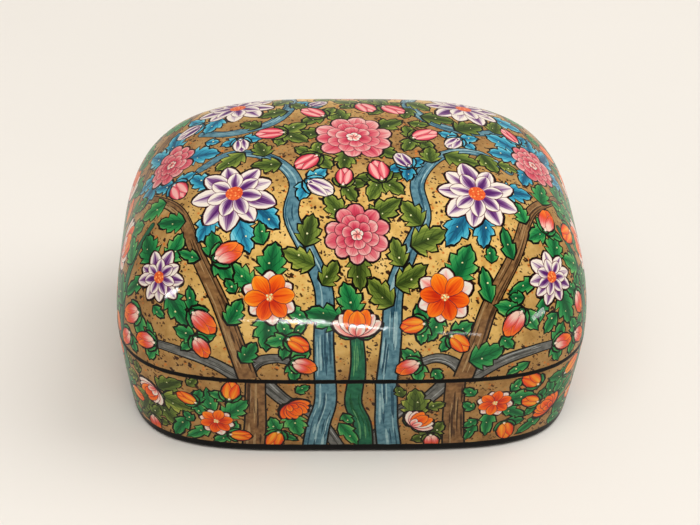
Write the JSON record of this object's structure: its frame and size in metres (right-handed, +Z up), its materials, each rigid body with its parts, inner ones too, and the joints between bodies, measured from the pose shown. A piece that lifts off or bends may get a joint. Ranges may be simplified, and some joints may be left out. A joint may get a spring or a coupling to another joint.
{
  "type": "lidded box",
  "caption": "Oblong lacquered papier-mache box: a tapering tray with a domed lift-off lid, painted with flowers and leaves on gold.",
  "frame": {"origin": "middle of the foot, on the table", "axes": "+X to the right along the long side, +Y to the back, +Z up"},
  "size_m": [0.1501, 0.112, 0.084],
  "materials": {
    "painted_lacquer": "flowers and leaves painted on a flecked gold ground, under gloss lacquer",
    "black_lacquer": "gloss black lacquer",
    "paper_pulp": "matte moulded paper pulp",
    "inner_black": "satin black paint",
    "collar_card": "card painted satin black"
  },
  "bodies": {
    "tray": {"base_shell": "paper_pulp", "base_painted_coat": "painted_lacquer", "base_foot_coat": "black_lacquer", "base_rim": "black_lacquer", "base_inner_coat": "inner_black", "base_collar": "collar_card"},
    "lid": {"lid_shell": "paper_pulp", "lid_painted_coat": "painted_lacquer", "lid_rim": "black_lacquer", "lid_inner_coat": "inner_black"}
  },
  "joints": [
    {"name": "lid_lift", "type": "slide", "parent": "tray", "child": "lid", "axis": [0, 0, 1], "range_m": [0, 0.06]}
  ]
}
